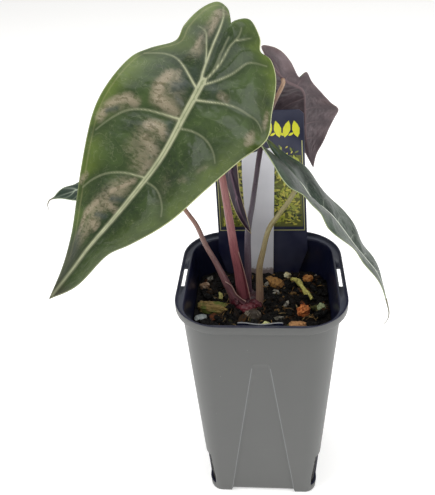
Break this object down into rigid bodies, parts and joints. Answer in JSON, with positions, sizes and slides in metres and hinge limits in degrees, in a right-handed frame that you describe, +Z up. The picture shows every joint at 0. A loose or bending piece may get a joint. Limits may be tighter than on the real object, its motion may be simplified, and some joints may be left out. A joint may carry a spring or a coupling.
{
  "type": "potted alocasia",
  "caption": "Young arrow-leaved alocasia with glossy pale-veined leaves in a tall square nursery pot of bark mix, with a picture tag and a pale name stake.",
  "frame": {"origin": "middle of the pot's underside, on the surface that it stands on", "axes": "+Z up, -Y towards the front face of the pot, where the large leaf leans out"},
  "size_m": [0.2084, 0.1415, 0.312],
  "materials": {
    "pot_plastic": "satin",
    "soil": "matte",
    "mossy_bark": "matte",
    "pebble": "matte",
    "bark": "matte",
    "clay": "matte",
    "pale_chip": "matte",
    "crown": "satin",
    "corm": "matte",
    "petiole_red": "satin",
    "petiole_dark": "satin",
    "petiole_olive": "satin",
    "petiole_mauve": "satin",
    "leaf_green": "gloss",
    "leaf_purple": "satin",
    "leaf_silver": "satin",
    "tag_navy": "satin",
    "tag_white": "satin"
  },
  "bodies": {
    "root": {"pot": "pot_plastic", "soil": "soil", "moss_bark": "mossy_bark", "pebble": "pebble", "tan_chip": "bark", "orange_chip": "clay", "clay_lump": "clay", "cream_chip": "pale_chip", "green_chip": "pale_chip", "fibre_bark": "bark", "front_chip": "bark", "pale_chip": "pale_chip", "yellow_shred": "pale_chip", "curved_twig": "pale_chip", "crown": "crown", "corm": "corm", "petiole_a": "petiole_red", "petiole_b": "petiole_dark", "petiole_c": "petiole_olive", "petiole_d": "petiole_mauve", "petiole_e": "petiole_dark", "blade_a": "leaf_green", "blade_b": "leaf_purple", "blade_c": "leaf_silver", "blade_d": "leaf_silver", "blade_e": "leaf_purple", "picture_tag": "tag_navy", "name_label": "tag_white"}
  },
  "joints": []
}
